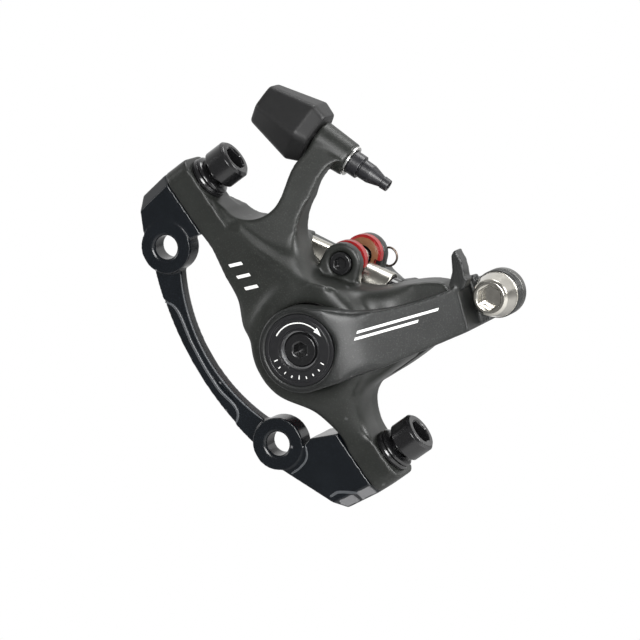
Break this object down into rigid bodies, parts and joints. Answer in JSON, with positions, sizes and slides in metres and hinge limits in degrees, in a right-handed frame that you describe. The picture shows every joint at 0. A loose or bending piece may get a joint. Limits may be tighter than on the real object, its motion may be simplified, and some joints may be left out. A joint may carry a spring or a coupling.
{
  "type": "bicycle disc brake caliper",
  "caption": "Mechanical disc brake caliper with two swinging levers, ball-ramp pistons, sliding pads, a barrel adjuster and a post-mount adapter bracket.",
  "frame": {"origin": "midway between the two frame bolt holes, on the bracket face that meets the frame", "axes": "+Z along the line of the frame bolt holes to the upper hole, +X out to the cable side, +Y inwards to the rotor"},
  "size_m": [0.0727, 0.0512, 0.0915],
  "materials": {
    "body_black": "satin anodised, fine grain",
    "bracket_black": "semi-gloss anodised",
    "bolt_black": "black oxide",
    "stainless": "polished",
    "sleeve_chrome": "polished",
    "knob_plastic": "matte",
    "nozzle_plastic": "matte",
    "ring_metal": "turned",
    "dial_plastic": "satin with pale print",
    "pad_red": "enamel",
    "lining": "sintered friction material",
    "spring_steel": "bright",
    "dark_wire": "dark",
    "machine_steel": "ground",
    "bronze": "plain bush",
    "piston_alloy": "machined"
  },
  "bodies": {
    "caliper": {"mount_bracket": "bracket_black", "mount_bolts": "bolt_black", "dished_washers": "bolt_black", "domed_washers": "bolt_black", "outer_body": "body_black", "inner_body": "body_black", "body_screws": "bolt_black", "outer_bush": "bronze", "inner_bush": "bronze", "outer_spring": "spring_steel", "inner_spring": "spring_steel", "outer_thrust_washer": "bronze", "inner_thrust_washer": "bronze", "bridge_sleeves": "sleeve_chrome", "cross_pins": "bolt_black", "pad_pin": "bolt_black", "pin_clip": "dark_wire", "pad_spring": "spring_steel", "barrel_insert": "ring_metal"},
    "levers": {"outer_lever": "body_black", "inner_lever": "body_black", "outer_cam": "machine_steel", "inner_cam": "machine_steel", "outer_lock_nut": "machine_steel", "inner_lock_nut": "machine_steel", "outer_dial": "dial_plastic", "inner_dial": "dial_plastic", "anchor_bolt": "stainless", "anchor_washer": "stainless", "anchor_nut": "stainless"},
    "outer_piston": {"outer_piston": "piston_alloy", "outer_balls": "machine_steel"},
    "inner_piston": {"inner_piston": "piston_alloy", "inner_balls": "machine_steel"},
    "outer_adjuster": {"outer_adjuster": "bolt_black"},
    "inner_adjuster": {"inner_adjuster": "bolt_black"},
    "outer_pad": {"outer_foot": "machine_steel", "outer_plate": "pad_red", "outer_lining": "lining"},
    "inner_pad": {"inner_foot": "machine_steel", "inner_plate": "pad_red", "inner_lining": "lining"},
    "barrel": {"barrel_screw": "bolt_black", "cable_nozzle": "nozzle_plastic"},
    "knob": {"knob": "knob_plastic"}
  },
  "joints": [
    {"name": "lever_swing", "type": "hinge", "parent": "caliper", "child": "levers", "pos_m": [0.0204, 0.0153, -0.0103], "axis": [0, -1, 0], "range_deg": [0, 28], "stiffness_Nm_per_rad": 0.25, "springref_deg": -20.05},
    {"name": "outer_piston_slide", "type": "slide", "parent": "caliper", "child": "outer_piston", "axis": [0, 1, 0], "range_m": [0, 0.001]},
    {"name": "inner_piston_slide", "type": "slide", "parent": "caliper", "child": "inner_piston", "axis": [0, -1, 0], "range_m": [0, 0.001]},
    {"name": "outer_adjuster_turn", "type": "hinge", "parent": "outer_piston", "child": "outer_adjuster", "pos_m": [0.0204, 0.0153, -0.0103], "axis": [0, 1, 0], "range_deg": [0, 432]},
    {"name": "inner_adjuster_turn", "type": "hinge", "parent": "inner_piston", "child": "inner_adjuster", "pos_m": [0.0204, 0.0153, -0.0103], "axis": [0, -1, 0], "range_deg": [0, 432]},
    {"name": "outer_pad_slide", "type": "slide", "parent": "outer_piston", "child": "outer_pad", "axis": [0, 1, 0], "range_m": [0, 0.0012]},
    {"name": "inner_pad_slide", "type": "slide", "parent": "inner_piston", "child": "inner_pad", "axis": [0, -1, 0], "range_m": [0, 0.0012]},
    {"name": "barrel_slide", "type": "slide", "parent": "caliper", "child": "barrel", "axis": [-0.4602, 0, 0.8878], "range_m": [0, 0.005]},
    {"name": "knob_turn", "type": "hinge", "parent": "barrel", "child": "knob", "pos_m": [0.0359, 0.0153, 0.0361], "axis": [-0.4602, 0, 0.8878], "range_deg": [0, 1800]}
  ],
  "couplings": [
    {"joint": "outer_piston_slide", "follows": "lever_swing", "m_per_rad": 0.0020463},
    {"joint": "inner_piston_slide", "follows": "lever_swing", "m_per_rad": 0.0020463},
    {"joint": "outer_adjuster_turn", "follows": "outer_pad_slide", "rad_per_m": 6283.2},
    {"joint": "inner_adjuster_turn", "follows": "inner_pad_slide", "rad_per_m": 6283.2},
    {"joint": "knob_turn", "follows": "barrel_slide", "rad_per_m": 6283.2}
  ]
}
